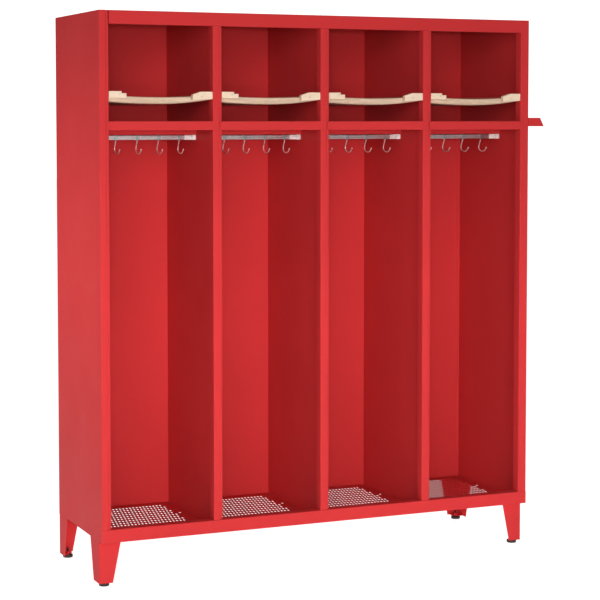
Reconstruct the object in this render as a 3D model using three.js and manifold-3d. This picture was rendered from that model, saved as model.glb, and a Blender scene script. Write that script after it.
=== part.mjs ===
// Open steel wardrobe locker: four doorless bays side by side on folded legs.
// Each bay has a perforated floor, a hat shelf with a hook rail under it, and
// a dished wooden helmet rest. Millimetres, +Z up, front towards -Y.
import * as THREE from 'three';
import { mergeVertices } from 'three/addons/utils/BufferGeometryUtils.js';
import Module from 'manifold-3d';

// Overall sizes of the cabinet, without the joining tab.
const WIDTH = 1560;
const DEPTH = 500;
const HEIGHT = 1850;
const LEG_HEIGHT = 150;

// Sheet steel, the outer radius of its folds, and the gap between separate pieces.
const SHEET = 1;
const FOLD = { radius: 2.5, tight: 1.7, steps: 4 };
const GAP = 0.3;

// Front frame: upright stiles and cross rails, folded from sheet.
const BAYS = 4;
const STILE = 32;
const RAIL = 43;
const FRAME_DEPTH = 35;
const REBATE = { width: 10, depth: 4.2 };
const OPENING = (WIDTH - (BAYS + 1) * STILE) / BAYS;
const PITCH = OPENING + STILE;

// Shelf, its front lip and the channel that the hook rail hangs from.
const SHELF_TOP = 1500;
const LIP_HEIGHT = 29;
const LIP_OVERLAP = 8;
const SHELF_FLANGE = 15;
const CHANNEL_WIDTH = 26;
const CHANNEL_BOTTOM = 1455.5;

// Hook rail: a tube with a slot along its underside.
const RAIL_Y = -40;
const TUBE_WIDTH = 12;
const TUBE_BOTTOM = 1438;
const TUBE_TOP = 1454;
const TUBE_WALL = 1.2;
const TUBE_SLOT = 4.6;
const TUBE_FOLD = 3;
const TUBE_GROOVE = { depth: 0.5, half: 0.8 };
const SOCKET_LENGTH = 13;
const SOCKET_WALL = 1;

// Sliding hooks: a band around the tube and a bent wire below it.
const HOOK_OFFSETS = [-88, -14, 60, 133];
const WIRE = 3.2;
const BEND = { reach: 26, drop: 15 };
const HOOK_LEAN = 13;
const HOOK_BOTTOM = 1391;
const HOOK_TIP = 1407;
const BAND = { length: 12, gap: 0.4, wall: 0.8 };

// Wooden helmet rest: a dished board with a cleat at each front end.
const REST_BOTTOM = 1555;
const REST_SAG = 8;
const REST_TAPER = 9;
const BOARD = 22;
const CLEAT_BASE = 1568;
const CLEAT_SET_BACK = 2;
const CLEAT_DEPTH = 18;

// Bolt hole low in each side panel, for fixing cabinets side by side.
const SIDE_HOLE = { radius: 3, back: 72, up: 40 };

// Perforated floor, and the larger hole beside the perforated field.
const FLOOR_TOP = 158;
const FLOOR_HOLE = { radius: 5, fromWall: 24, y: 60 };

// Legs: folded plates that taper downwards, with a foot screwed in.
const LEG_SHEET = 2;
const LEG_FOLD = 4;
const LEG_FRONT = { top: 74, bottom: 46 };
const LEG_SIDE = { top: 96, bottom: 62 };
const LEG_BOTTOM = 12;
const FOOT_RADIUS = 17;
const FOOT_INSET = 23;
const STEM_RADIUS = 4;
const STEM_TOP = 34;
const FOOT_PLATE = { reach: 38, narrow: 20 };

// Tab on the right that takes the next cabinet of the row.
const TAB = { top: 47, bottom: 62, low: 1482, high: 1512 };

// The tab makes the outline lopsided, so the cabinet stands left of the origin.
const SHIFT = -TAB.bottom / 2;

const LEFT = -WIDTH / 2;
const RIGHT = WIDTH / 2;
const LIP_FRONT = -DEPTH / 2;
const FRONT = LIP_FRONT + SHEET + GAP;
const FRAME_BACK = FRONT + FRAME_DEPTH;
const BEHIND_FRAME = FRAME_BACK + GAP;
const BACK = DEPTH / 2;
const INSIDE_BACK = BACK - SHEET - GAP;
const CLEAR_BACK = INSIDE_BACK - SHEET - GAP;
const CLEAR_FRONT = BEHIND_FRAME + SHEET + GAP;
const CLEAT_BACK = FRONT + CLEAT_SET_BACK + CLEAT_DEPTH;

const wasm = await Module();
wasm.setup();

const RED = new THREE.MeshStandardMaterial({ color: 0xb81c22, roughness: 0.42, metalness: 0 });
const STEEL = new THREE.MeshStandardMaterial({ color: 0xb9bcc0, roughness: 0.35, metalness: 0.9 });
const BEECH = new THREE.MeshStandardMaterial({ color: 0xd9b98a, roughness: 0.6, metalness: 0 });
const BLACK = new THREE.MeshStandardMaterial({ color: 0x151515, roughness: 0.55, metalness: 0 });

const locker = new THREE.Group();
locker.name = 'wardrobe_locker';

function add(name, geometry, material) {
  geometry.translate(SHIFT, 0, 0);
  const mesh = new THREE.Mesh(geometry, material);
  mesh.name = name;
  locker.add(mesh);
}

function solid(geometry) {
  const bare = geometry.clone();
  bare.deleteAttribute('normal');
  bare.deleteAttribute('uv');
  const merged = mergeVertices(bare, 1e-4);
  return new wasm.Manifold(new wasm.Mesh({
    numProp: 3,
    vertProperties: new Float32Array(merged.attributes.position.array),
    triVerts: new Uint32Array(merged.index.array),
  }));
}

function geometryOf(manifold) {
  const mesh = manifold.getMesh();
  const geometry = new THREE.BufferGeometry();
  geometry.setAttribute('position', new THREE.BufferAttribute(new Float32Array(mesh.vertProperties), 3));
  geometry.setIndex(new THREE.BufferAttribute(new Uint32Array(mesh.triVerts), 1));
  geometry.computeVertexNormals();
  return geometry;
}

function join(geometries, cuts = []) {
  let body = solid(geometries[0]);
  for (const geometry of geometries.slice(1)) body = body.add(solid(geometry));
  for (const cut of cuts) body = body.subtract(solid(cut));
  return geometryOf(body);
}

function block(x0, x1, y0, y1, z0, z1) {
  return new THREE.BoxGeometry(x1 - x0, y1 - y0, z1 - z0)
    .translate((x0 + x1) / 2, (y0 + y1) / 2, (z0 + z1) / 2);
}

// Outline of a sheet with square folds, each rounded: the line of its outer
// face, thickened to its left.
function folded(line, thickness = SHEET, bend = FOLD.radius) {
  const points = line.map(([x, y]) => new THREE.Vector2(x, y));
  const last = points.length - 1;
  const [outer, inner] = [[], []];
  points.forEach((point, i) => {
    const heading = points[Math.max(i, 1)].clone().sub(points[Math.max(i, 1) - 1]).normalize();
    const left = new THREE.Vector2(-heading.y, heading.x);
    if (i === 0 || i === last) {
      outer.push(point);
      inner.push(point.clone().addScaledVector(left, thickness));
      return;
    }
    const side = Math.sign(points[i + 1].clone().sub(point).dot(left));
    const radius = side > 0 ? bend : bend - thickness;
    const centre = point.clone().addScaledVector(heading, -radius).addScaledVector(left, side * radius);
    for (let k = 0; k <= FOLD.steps; k += 1) {
      const spoke = left.clone().multiplyScalar(-side)
        .rotateAround(new THREE.Vector2(), (side * k * Math.PI) / 2 / FOLD.steps);
      outer.push(centre.clone().addScaledVector(spoke, radius));
      inner.push(centre.clone().addScaledVector(spoke, radius - side * thickness));
    }
  });
  return new THREE.Shape([...outer, ...inner.reverse()]);
}

// A shape drawn in X and Y, raised from z0 to z1.
function upright(shape, z0, z1) {
  return new THREE.ExtrudeGeometry(shape, { depth: z1 - z0, bevelEnabled: false }).translate(0, 0, z0);
}

// A shape drawn in Y and Z, run from x0 to x1.
function across(shape, x0, x1) {
  const turn = new THREE.Matrix4().makeBasis(
    new THREE.Vector3(0, 1, 0), new THREE.Vector3(0, 0, 1), new THREE.Vector3(1, 0, 0));
  return new THREE.ExtrudeGeometry(shape, { depth: x1 - x0, bevelEnabled: false, curveSegments: 3 })
    .applyMatrix4(turn).translate(x0, 0, 0);
}

// A shape drawn in X and Z, run from y0 back to y1.
function deep(shape, y0, y1) {
  return new THREE.ExtrudeGeometry(shape, { depth: y1 - y0, bevelEnabled: false })
    .rotateX(Math.PI / 2).translate(0, y1, 0);
}

function roundedBox(x0, x1, y0, y1, radius) {
  const shape = new THREE.Shape();
  shape.absarc(x1 - radius, y0 + radius, radius, -Math.PI / 2, 0);
  shape.absarc(x1 - radius, y1 - radius, radius, 0, Math.PI / 2);
  shape.absarc(x0 + radius, y1 - radius, radius, Math.PI / 2, Math.PI);
  shape.absarc(x0 + radius, y0 + radius, radius, Math.PI, 1.5 * Math.PI);
  return shape;
}

function polygon(points) {
  return new THREE.Shape(points.map(([x, y]) => new THREE.Vector2(x, y)));
}

// The same geometry on the other side of the cabinet or of a bay.
function mirrored(geometry) {
  const copy = geometry.index ? geometry.toNonIndexed() : geometry.clone();
  const position = copy.attributes.position;
  for (let i = 0; i < position.count; i += 3) {
    const corners = [0, 1, 2].map((k) => new THREE.Vector3().fromBufferAttribute(position, i + k));
    [corners[0], corners[2], corners[1]].forEach((corner, k) => {
      position.setXYZ(i + k, -corner.x, corner.y, corner.z);
    });
  }
  copy.deleteAttribute('normal');
  copy.deleteAttribute('uv');
  const merged = mergeVertices(copy, 1e-4);
  merged.computeVertexNormals();
  return merged;
}

function bayCentre(bay) {
  return LEFT + STILE + OPENING / 2 + (bay - 1) * PITCH;
}

// Inner faces of the walls on both sides of a bay, less the gap.
function bayWalls(bay) {
  const left = bay === 1 ? LEFT + SHEET : bayCentre(bay) - PITCH / 2 + SHEET / 2;
  const right = bay === BAYS ? RIGHT - SHEET : bayCentre(bay) + PITCH / 2 - SHEET / 2;
  return [left + GAP, right - GAP];
}

function sidePanel() {
  const line = [[LEFT + 14, BACK - SHEET - GAP], [LEFT, BACK - SHEET - GAP],
    [LEFT, BEHIND_FRAME], [LEFT + 12, BEHIND_FRAME]];
  const hole = new THREE.CylinderGeometry(SIDE_HOLE.radius, SIDE_HOLE.radius, 20, 16)
    .rotateZ(Math.PI / 2).translate(LEFT, FRONT + SIDE_HOLE.back, LEG_HEIGHT + SIDE_HOLE.up);
  const sheet = folded(line, SHEET, FOLD.tight);
  return join([upright(sheet, LEG_HEIGHT, HEIGHT - SHEET - GAP)], [hole]);
}

// Front of a stile from its left side round to its right side, which is
// stepped back along the bay on its right.
function steppedFront(x0, x1) {
  const step = FRONT + REBATE.depth;
  return [[x0, FRAME_BACK], [x0, FRONT], [x1 - REBATE.width, FRONT], [x1 - REBATE.width, step],
    [x1, step], [x1, FRAME_BACK]];
}

// Outer stile on the bottom rail, closed at both ends by plates inside its outline.
function outerStile(line) {
  const inset = FOLD.radius / 3;
  const keep = (value, low, high) => Math.min(Math.max(value, low + inset), high - inset);
  const outline = line.map(([x, y]) => [keep(x, LEFT, LEFT + STILE), y]);
  const plate = polygon(outline.map(([x, y]) => [x, y === FRAME_BACK ? y : y + inset]));
  const low = LEG_HEIGHT + RAIL + GAP;
  const ends = [low, HEIGHT - SHEET].map((z) => upright(plate, z, z + SHEET));
  return join([upright(folded(line), low, HEIGHT), ...ends]);
}

function leftStile() {
  return outerStile(steppedFront(LEFT, LEFT + STILE));
}

function rightStile() {
  const line = [[LEFT, FRAME_BACK], [LEFT, FRONT], [LEFT + STILE, FRONT], [LEFT + STILE, FRAME_BACK]];
  return mirrored(outerStile(line));
}

function railLine(bottom) {
  return [[FRAME_BACK, bottom + RAIL], [FRONT, bottom + RAIL], [FRONT, bottom], [FRAME_BACK, bottom]];
}

// Top rail, between the outer stiles.
function topRail() {
  const end = RIGHT - STILE - GAP;
  return across(folded(railLine(HEIGHT - RAIL)), -end, end);
}

// Bottom rail over the whole width, closed at both ends.
function bottomRail() {
  const inset = FOLD.radius / 3;
  const [y, low, high] = [FRONT + inset, LEG_HEIGHT + inset, LEG_HEIGHT + RAIL - inset];
  return join([
    across(folded(railLine(LEG_HEIGHT)), LEFT, RIGHT),
    block(LEFT, LEFT + SHEET, y, FRAME_BACK, low, high),
    block(RIGHT - SHEET, RIGHT, y, FRAME_BACK, low, high),
  ]);
}

// Roof over the side panels, with its edges turned down inside them.
function topPanel() {
  const x = RIGHT - SHEET - GAP;
  const back = INSIDE_BACK - 15;
  return join([
    block(LEFT, RIGHT, BEHIND_FRAME, BACK - SHEET - GAP, HEIGHT - SHEET, HEIGHT),
    block(-x + 14, x - 14, BEHIND_FRAME, BEHIND_FRAME + SHEET, HEIGHT - 18, HEIGHT),
    block(-x, -x + SHEET, BEHIND_FRAME + 14, back, HEIGHT - 18, HEIGHT),
    block(x - SHEET, x, BEHIND_FRAME + 14, back, HEIGHT - 18, HEIGHT),
  ]);
}

function rearPanel() {
  return block(LEFT, RIGHT, BACK - SHEET, BACK, LEG_HEIGHT, HEIGHT);
}

// Dividing wall: a flat web that folds into a box-shaped stile at the front.
function partition(x) {
  const half = STILE / 2;
  const stile = folded([[x + SHEET / 2, FRAME_BACK], ...steppedFront(x - half, x + half),
    [x + SHEET / 2 + GAP, FRAME_BACK]]);
  const [low, high] = [LEG_HEIGHT + RAIL + GAP, HEIGHT - RAIL - GAP];
  const sheet = (x1, y0, y1, z0, z1) => block(x - SHEET / 2, x1, y0, y1, z0, z1);
  return join([
    upright(stile, low, high),
    sheet(x + SHEET / 2, FRAME_BACK - SHEET, BEHIND_FRAME + SHEET, low, high),
    sheet(x + SHEET / 2, BEHIND_FRAME, INSIDE_BACK, FLOOR_TOP - 6, HEIGHT - 20),
    sheet(x + 15, INSIDE_BACK - SHEET, INSIDE_BACK, FLOOR_TOP - 6, HEIGHT - 20),
  ]);
}

// Floor sheet of one bay, turned down at the front and back edges.
function floorPanel(bay) {
  const [x0, x1] = bayWalls(bay);
  const low = LEG_HEIGHT + GAP;
  const hole = new THREE.CylinderGeometry(FLOOR_HOLE.radius, FLOOR_HOLE.radius, 20, 24)
    .rotateX(Math.PI / 2).translate(x1 - FLOOR_HOLE.fromWall, FLOOR_HOLE.y, FLOOR_TOP);
  return join([
    block(x0, x1, CLEAR_FRONT, CLEAR_BACK, FLOOR_TOP - SHEET, FLOOR_TOP),
    block(x0 + 16, x1 - 16, CLEAR_FRONT, CLEAR_FRONT + SHEET, low, FLOOR_TOP),
    block(x0 + 16, x1 - 16, CLEAR_BACK - SHEET, CLEAR_BACK, low, FLOOR_TOP),
  ], [hole]);
}

// Hat shelf: flat sheet, front lip, turned-down edges and the channel below.
function shelf(bay) {
  const x = bayCentre(bay);
  const [x0, x1] = bayWalls(bay);
  const open = OPENING / 2;
  const low = SHELF_TOP - SHELF_FLANGE;
  const lipLow = SHELF_TOP - LIP_HEIGHT;
  const nose = [[CLEAR_FRONT + 5, SHELF_TOP], [LIP_FRONT, SHELF_TOP], [LIP_FRONT, lipLow],
    [LIP_FRONT + 12, lipLow]];
  const channel = (y) => block(x0, x1, y, y + SHEET, CHANNEL_BOTTOM, SHELF_TOP);
  const [y0, y1] = [RAIL_Y - CHANNEL_WIDTH / 2, RAIL_Y + CHANNEL_WIDTH / 2];
  return join([
    block(x0, x1, CLEAR_FRONT, CLEAR_BACK, SHELF_TOP - SHEET, SHELF_TOP),
    across(folded(nose), x - open + GAP, x + open - GAP),
    block(x - open - LIP_OVERLAP, x, LIP_FRONT, LIP_FRONT + SHEET,
      lipLow + FOLD.radius, SHELF_TOP - FOLD.radius),
    block(x0, x0 + SHEET, BEHIND_FRAME + 14, CLEAR_BACK - 2, low, SHELF_TOP),
    block(x1 - SHEET, x1, BEHIND_FRAME + 14, CLEAR_BACK - 2, low, SHELF_TOP),
    block(x0, x1, CLEAR_BACK - SHEET, CLEAR_BACK, low, SHELF_TOP),
    channel(y0), channel(y1 - SHEET),
    block(x0, x1, y0, y1, CHANNEL_BOTTOM, CHANNEL_BOTTOM + SHEET),
  ]);
}

// Slotted tube from wall to wall, grooved along both faces, with a socket
// pushed over each end.
function hookRail(bay) {
  const [x0, x1] = bayWalls(bay);
  const [y0, y1] = [RAIL_Y - TUBE_WIDTH / 2, RAIL_Y + TUBE_WIDTH / 2];
  const line = [[RAIL_Y + TUBE_SLOT / 2, TUBE_BOTTOM], [y1, TUBE_BOTTOM], [y1, TUBE_TOP],
    [y0, TUBE_TOP], [y0, TUBE_BOTTOM], [RAIL_Y - TUBE_SLOT / 2, TUBE_BOTTOM]];
  const grow = SOCKET_WALL;
  const shell = roundedBox(y0 - grow, y1 + grow, TUBE_BOTTOM - grow, TUBE_TOP + grow, TUBE_FOLD + grow);
  shell.holes.push(roundedBox(y0 + grow, y1 - grow, TUBE_BOTTOM + grow, TUBE_TOP - grow, 1));
  const middle = (TUBE_BOTTOM + TUBE_TOP) / 2;
  const groove = (y) => block(x0 + SOCKET_LENGTH + 1, x1 - SOCKET_LENGTH - 1,
    y - TUBE_GROOVE.depth, y + TUBE_GROOVE.depth, middle - TUBE_GROOVE.half, middle + TUBE_GROOVE.half);
  return join([
    across(folded(line, TUBE_WALL, TUBE_FOLD), x0, x1),
    across(shell, x0, x0 + SOCKET_LENGTH),
    across(shell, x1 - SOCKET_LENGTH, x1),
  ], [groove(y0), groove(y1)]);
}

// Wire hook that opens towards the front, hanging from its band.
function hook(x) {
  const low = HOOK_BOTTOM + WIRE / 2;
  const bendZ = low + BEND.drop;
  const top = TUBE_BOTTOM - BAND.gap - BAND.wall / 2;
  const path = new THREE.CurvePath();
  const at = (y, z) => new THREE.Vector3(x, RAIL_Y + HOOK_LEAN + y, z);
  path.add(new THREE.CubicBezierCurve3(at(-HOOK_LEAN, top), at(-HOOK_LEAN, top - 8),
    at(0, bendZ + 10), at(0, bendZ)));
  const { reach, drop } = BEND;
  const round = 0.5523;
  path.add(new THREE.CubicBezierCurve3(at(0, bendZ), at(0, bendZ - round * drop),
    at((round - 1) * reach, low), at(-reach, low)));
  path.add(new THREE.CubicBezierCurve3(at(-reach, low), at((-1 - round) * reach, low),
    at(-2 * reach, bendZ - round * drop), at(-2 * reach, bendZ)));
  path.add(new THREE.LineCurve3(at(-2 * reach, bendZ), at(-2 * reach - 1, HOOK_TIP)));
  const ring = new THREE.Shape();
  for (let i = 0; i < 8; i += 1) {
    const angle = (i / 8) * 2 * Math.PI;
    const corner = [WIRE / 2 * Math.cos(angle), WIRE / 2 * Math.sin(angle)];
    if (i === 0) ring.moveTo(...corner);
    else ring.lineTo(...corner);
  }
  ring.closePath();
  const wire = new THREE.ExtrudeGeometry(ring, { steps: 22, extrudePath: path, bevelEnabled: false });
  const outline = (grow) => roundedBox(RAIL_Y - TUBE_WIDTH / 2 - grow, RAIL_Y + TUBE_WIDTH / 2 + grow,
    TUBE_BOTTOM - grow, TUBE_TOP + grow, TUBE_FOLD + grow);
  const band = outline(BAND.gap + BAND.wall);
  band.holes.push(outline(BAND.gap));
  return join([across(band, x - BAND.length / 2, x + BAND.length / 2), wire]);
}

// Front view of the helmet rest's board from x0 to x1. It sags towards the
// middle of the bay and gets thinner from there to the right.
function boardOutline(bay, x0, x1) {
  const steps = 12;
  const [lower, upper] = [[], []];
  for (let i = 0; i <= steps; i += 1) {
    const x = x0 + ((x1 - x0) * i) / steps;
    const t = (x - bayCentre(bay)) / (PITCH / 2);
    const z = REST_BOTTOM + REST_SAG * t * t;
    lower.push([x, z + (t > 0 ? REST_TAPER * t * t : 0)]);
    upper.push([x, z + BOARD]);
  }
  return polygon([...lower, ...upper.reverse()]);
}

// Board from wall to wall, narrowed at the front to pass between the stiles.
function restBoard(bay) {
  const [x0, x1] = bayWalls(bay);
  const [x, half] = [bayCentre(bay), OPENING / 2 - GAP];
  return join([
    deep(boardOutline(bay, x0, x1), CLEAR_FRONT, CLEAR_BACK),
    deep(boardOutline(bay, x - half, x + half), CLEAT_BACK + GAP, CLEAR_FRONT + 1),
  ]);
}

// A cleat between the frame's stiles, in front of the board.
function cleat(outline) {
  const points = outline.map(([x, z]) => [x, CLEAT_BASE + z]);
  return deep(polygon(points), FRONT + CLEAT_SET_BACK, CLEAT_BACK);
}

// Stepped cleat in front of the left end of a helmet rest.
function leftCleat(bay) {
  const x = bayCentre(bay) - OPENING / 2 + GAP;
  return cleat([[x, 6], [x + 58, 6], [x + 58, 20.5], [x + 42, 20.5], [x + 42, 27], [x, 27]]);
}

// Cleat with a sloping shoulder in front of the right end.
function rightCleat(bay) {
  const x = bayCentre(bay) + OPENING / 2 - GAP;
  return cleat([[x - 68, -0.5], [x, 3], [x, 27], [x - 40, 27], [x - 68, 18]]);
}

// Left leg: one folded plate whose two flanges taper downwards, with a plate
// on top and a smaller one for the foot.
function leg(front) {
  const [low, top] = [LEG_BOTTOM, LEG_HEIGHT - GAP];
  const y = (inset) => (front ? BEHIND_FRAME + inset : BACK - inset);
  const corner = [LEFT, y(0)];
  const ends = [[LEFT, y(LEG_SIDE.top)], [LEFT + LEG_FRONT.top, y(0)]];
  const line = front ? [ends[0], corner, ends[1]] : [ends[1], corner, ends[0]];
  const taper = (place, flange) => polygon([[place(flange.bottom), low], [place(flange.top), top],
    [place(flange.top + 5), top + 1], [place(flange.top + 5), low - 1], [place(flange.bottom), low - 1]]);
  const sideCut = across(taper(y, LEG_SIDE), LEFT - 1, LEFT + 20);
  const faceCut = deep(taper((x) => LEFT + x, LEG_FRONT), Math.min(y(-1), y(20)), Math.max(y(-1), y(20)));
  const plate = (reach, z) => block(LEFT + GAP, LEFT + reach, Math.min(y(GAP), y(reach)),
    Math.max(y(GAP), y(reach)), z, z + LEG_SHEET);
  const { reach, narrow } = FOOT_PLATE;
  const outline = [[GAP, GAP], [reach, GAP], [reach, narrow], [narrow, reach], [GAP, reach]];
  const footPlate = upright(polygon(outline.map(([a, b]) => [LEFT + a, y(b)])), low, low + LEG_SHEET);
  const hole = new THREE.CylinderGeometry(STEM_RADIUS + 0.6, STEM_RADIUS + 0.6, 10, 20)
    .rotateX(Math.PI / 2).translate(LEFT + FOOT_INSET, y(FOOT_INSET), low);
  const flanges = join([upright(folded(line, LEG_SHEET, LEG_FOLD), low, top)], [sideCut, faceCut]);
  return join([flanges, plate(66, top - LEG_SHEET), footPlate], [hole]);
}

// Levelling foot: a round pad with a screwed stem.
function foot() {
  const top = LEG_BOTTOM - GAP;
  const outline = [[0, 0], [FOOT_RADIUS - 1.5, 0], [FOOT_RADIUS, 1.5], [FOOT_RADIUS, top - 3],
    [FOOT_RADIUS - 3, top], [STEM_RADIUS, top], [STEM_RADIUS, STEM_TOP], [0, STEM_TOP]];
  return new THREE.LatheGeometry(outline.map(([r, z]) => new THREE.Vector2(r, z)), 20)
    .rotateX(Math.PI / 2);
}

// Tab for the next cabinet, held by a short flange along the right stile.
function joiningTab() {
  const x = RIGHT + GAP;
  const face = polygon([[x, TAB.low], [RIGHT + TAB.bottom, TAB.low], [RIGHT + TAB.top, TAB.high],
    [x, TAB.high]]);
  return join([
    deep(face, FRONT, FRONT + SHEET),
    block(x, x + SHEET, FRONT, FRAME_BACK - 5, TAB.low, TAB.high),
  ]);
}

add('side_panel_left', sidePanel(), RED);
add('side_panel_right', mirrored(sidePanel()), RED);
add('top_panel', topPanel(), RED);
add('rear_panel', rearPanel(), RED);
add('frame_stile_left', leftStile(), RED);
add('frame_stile_right', rightStile(), RED);
add('frame_top_rail', topRail(), RED);
add('frame_bottom_rail', bottomRail(), RED);
for (let i = 1; i < BAYS; i += 1) add(`partition_${i}`, partition(bayCentre(i) + PITCH / 2), RED);

for (let bay = 1; bay <= BAYS; bay += 1) {
  add(`floor_panel_${bay}`, floorPanel(bay), RED);
  add(`shelf_${bay}`, shelf(bay), RED);
  add(`helmet_rest_${bay}`, restBoard(bay), BEECH);
  add(`rest_cleat_left_${bay}`, leftCleat(bay), BEECH);
  add(`rest_cleat_right_${bay}`, rightCleat(bay), BEECH);
  add(`hook_rail_${bay}`, hookRail(bay), STEEL);
  HOOK_OFFSETS.forEach((offset, i) => add(`hook_${bay}_${i + 1}`, hook(bayCentre(bay) + offset), STEEL));
}

for (const [place, front] of [['front', true], ['back', false]]) {
  const y = front ? BEHIND_FRAME + FOOT_INSET : BACK - FOOT_INSET;
  add(`leg_${place}_left`, leg(front), RED);
  add(`leg_${place}_right`, mirrored(leg(front)), RED);
  add(`foot_${place}_left`, foot().translate(LEFT + FOOT_INSET, y, 0), BLACK);
  add(`foot_${place}_right`, foot().translate(RIGHT - FOOT_INSET, y, 0), BLACK);
}
add('joining_tab', joiningTab(), RED);

export default locker;
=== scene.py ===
"""Open wardrobe locker: powder-coated steel cabinet with four doorless bays, wooden helmet
rests, hook rails with sliding hooks, perforated floors and tapered legs on levelling feet.
Metres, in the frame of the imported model: +Z up, the open front towards -Y."""

import math

import bmesh
import bpy
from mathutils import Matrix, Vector


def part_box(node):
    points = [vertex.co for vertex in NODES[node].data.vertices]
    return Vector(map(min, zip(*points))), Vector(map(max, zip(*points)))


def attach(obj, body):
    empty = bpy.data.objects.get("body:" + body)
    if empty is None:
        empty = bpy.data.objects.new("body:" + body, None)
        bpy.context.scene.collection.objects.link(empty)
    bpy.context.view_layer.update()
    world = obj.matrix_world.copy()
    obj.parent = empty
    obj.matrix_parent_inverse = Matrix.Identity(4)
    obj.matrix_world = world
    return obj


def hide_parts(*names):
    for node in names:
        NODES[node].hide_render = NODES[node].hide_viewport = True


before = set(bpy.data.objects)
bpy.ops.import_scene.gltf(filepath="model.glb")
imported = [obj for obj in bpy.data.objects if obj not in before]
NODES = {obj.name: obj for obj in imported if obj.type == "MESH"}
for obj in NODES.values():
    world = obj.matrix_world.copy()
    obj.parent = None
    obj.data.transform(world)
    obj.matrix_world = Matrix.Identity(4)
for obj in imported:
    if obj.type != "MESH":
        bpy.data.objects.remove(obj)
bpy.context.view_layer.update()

MM = 0.001
BAYS = range(1, 5)
HOOKS = range(1, 5)
CORNERS = [(depth, side) for depth in ("front", "back") for side in ("left", "right")]

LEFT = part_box("side_panel_left")[0].x
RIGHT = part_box("side_panel_right")[1].x
MIDDLE = (LEFT + RIGHT) / 2

# Camera: where it stands from the middle of the footprint, and how it looks.
CAMERA_PLACE = Vector((-2.462, -5.709, 1.500))
CAMERA_YAW = 23.47
CAMERA_PITCH = -3.40
CAMERA_LENS = 107.9
CAMERA_SHIFT = -0.12

# Studio light.
KEY_POWER = 112
FILL_POWER = 116
MIDDLE_POWER = 3.0
SIDE_POWER = 2.7
TOP_POWER = 35
FLOOR_GLOW = 0.90
FLOOR_DIM = 0.24
SKY_DIM = 0.26
SKY_BRIGHT = 1.25


# ---------------------------------------------------------------- materials


class Nodes:
    """A material's node tree with short calls for the nodes used here."""

    def __init__(self, name):
        self.material = bpy.data.materials.new(name)
        self.material.use_nodes = True
        self.tree = self.material.node_tree
        self.shader = self.tree.nodes["Principled BSDF"]
        self.place = self.add("ShaderNodeTexCoord").outputs["Object"]

    def add(self, kind, **settings):
        node = self.tree.nodes.new(kind)
        for key, value in settings.items():
            setattr(node, key, value)
        return node

    def link(self, source, socket):
        self.tree.links.new(source, socket)

    def put(self, value, socket):
        if isinstance(value, bpy.types.NodeSocket):
            self.link(value, socket)
        else:
            socket.default_value = value

    def stretched(self, scale):
        mapping = self.add("ShaderNodeMapping")
        self.link(self.place, mapping.inputs["Vector"])
        mapping.inputs["Scale"].default_value = scale
        return mapping.outputs["Vector"]

    def noise(self, scale, detail=2.0, roughness=0.5, vector=None, distortion=0.0):
        node = self.add("ShaderNodeTexNoise")
        self.link(vector or self.place, node.inputs["Vector"])
        node.inputs["Scale"].default_value = scale
        node.inputs["Detail"].default_value = detail
        node.inputs["Roughness"].default_value = roughness
        node.inputs["Distortion"].default_value = distortion
        return node.outputs["Fac"]

    def cells(self, scale, vector=None):
        node = self.add("ShaderNodeTexVoronoi")
        self.link(vector or self.place, node.inputs["Vector"])
        node.inputs["Scale"].default_value = scale
        return node.outputs["Color"]

    def ramp(self, value, low, high, first=0.0, last=1.0):
        node = self.add("ShaderNodeMapRange")
        self.link(value, node.inputs["Value"])
        for key, number in (("From Min", low), ("From Max", high), ("To Min", first), ("To Max", last)):
            node.inputs[key].default_value = number
        return node.outputs["Result"]

    def math(self, operation, first, second=0.0):
        node = self.add("ShaderNodeMath", operation=operation)
        self.put(first, node.inputs[0])
        self.put(second, node.inputs[1])
        return node.outputs["Value"]

    def mix(self, share, first, second):
        node = self.add("ShaderNodeMix", data_type="RGBA")
        self.put(share, node.inputs["Factor"])
        self.put(first, node.inputs["A"])
        self.put(second, node.inputs["B"])
        return node.outputs["Result"]

    def bump(self, height, distance, strength=1.0, below=None):
        node = self.add("ShaderNodeBump")
        self.link(height, node.inputs["Height"])
        node.inputs["Distance"].default_value = distance
        node.inputs["Strength"].default_value = strength
        if below is not None:
            self.link(below, node.inputs["Normal"])
        return node.outputs["Normal"]

    def facing_up(self, low=0.7, high=0.95):
        split = self.add("ShaderNodeSeparateXYZ")
        self.link(self.add("ShaderNodeNewGeometry").outputs["Normal"], split.inputs["Vector"])
        return self.ramp(split.outputs["Z"], low, high)

    def edges(self, radius):
        """1 near sharp edges, 0 on flats: where the rounded normal leaves the true one."""
        rounded = self.add("ShaderNodeBevel", samples=6)
        rounded.inputs["Radius"].default_value = radius
        dot = self.add("ShaderNodeVectorMath", operation="DOT_PRODUCT")
        self.link(rounded.outputs["Normal"], dot.inputs[0])
        self.link(self.add("ShaderNodeNewGeometry").outputs["Normal"], dot.inputs[1])
        return self.ramp(dot.outputs["Value"], 0.99, 0.75)

    def finish(self, colour, roughness, normal=None, **constants):
        self.put(colour, self.shader.inputs["Base Color"])
        self.put(roughness, self.shader.inputs["Roughness"])
        if normal is not None:
            self.link(normal, self.shader.inputs["Normal"])
        for key, value in constants.items():
            self.shader.inputs[key.replace("_", " ")].default_value = value
        return self.material


def shade(colour, factor):
    """A colour made lighter or darker, with full opacity."""
    return (*[channel * factor for channel in colour], 1.0)


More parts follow.
